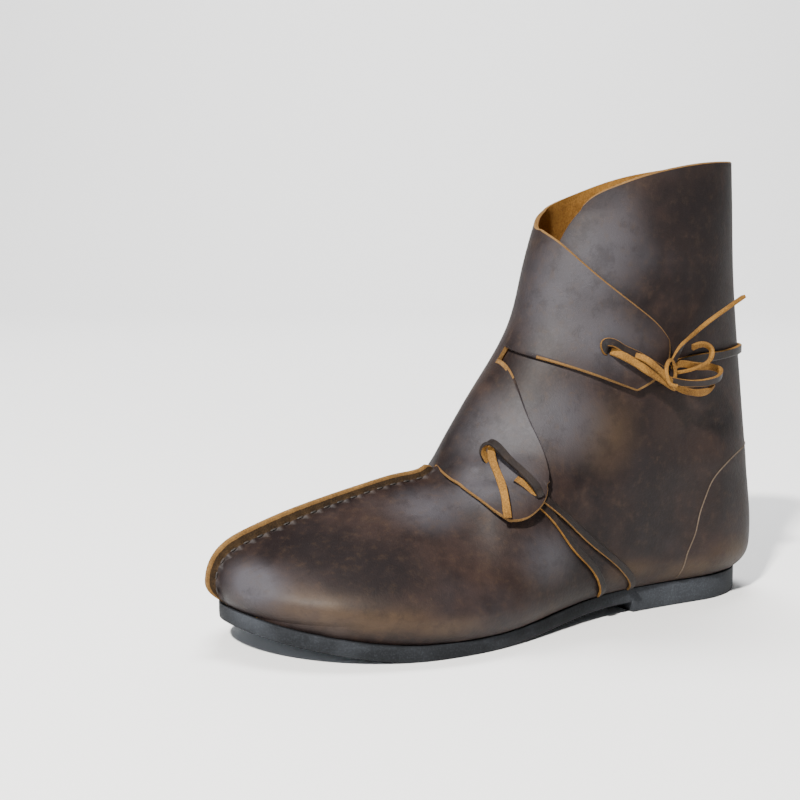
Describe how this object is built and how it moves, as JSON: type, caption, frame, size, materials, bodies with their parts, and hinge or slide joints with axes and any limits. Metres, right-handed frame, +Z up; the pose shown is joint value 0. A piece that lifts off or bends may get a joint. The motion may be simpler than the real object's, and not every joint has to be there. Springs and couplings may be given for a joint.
{
  "type": "ankle boot",
  "caption": "Left medieval ankle boot: wrapped brown leather upper with a raised vamp seam and overlapping flaps tied by leather thongs, on a flat rubber sole with a low heel.",
  "frame": {"origin": "middle of the boot's box in plan, on the floor under the sole", "axes": "+X to the wearer's outer side (left boot), +Y from toe to heel, +Z up"},
  "size_m": [0.1114, 0.278, 0.207],
  "materials": {
    "upper": "satin, oiled dark brown",
    "outsole": "matt, blue-grey",
    "insole": "matt, natural tan",
    "thong": "satin, dark brown with tan cut edges",
    "thong_end": "matt tan flesh side"
  },
  "bodies": {
    "root": {"upper": "upper", "outsole": "outsole", "insole": "insole", "instep_thong_front": "thong", "instep_thong_back": "thong", "ankle_thong_flap": "thong", "ankle_thong_back": "thong", "instep_thong_front_end": "thong_end", "instep_thong_back_end": "thong_end", "ankle_thong_knot": "thong_end", "ankle_thong_loop": "thong_end", "ankle_thong_strip": "thong_end", "ankle_thong_curl": "thong_end", "ankle_thong_end": "thong_end"}
  },
  "joints": []
}
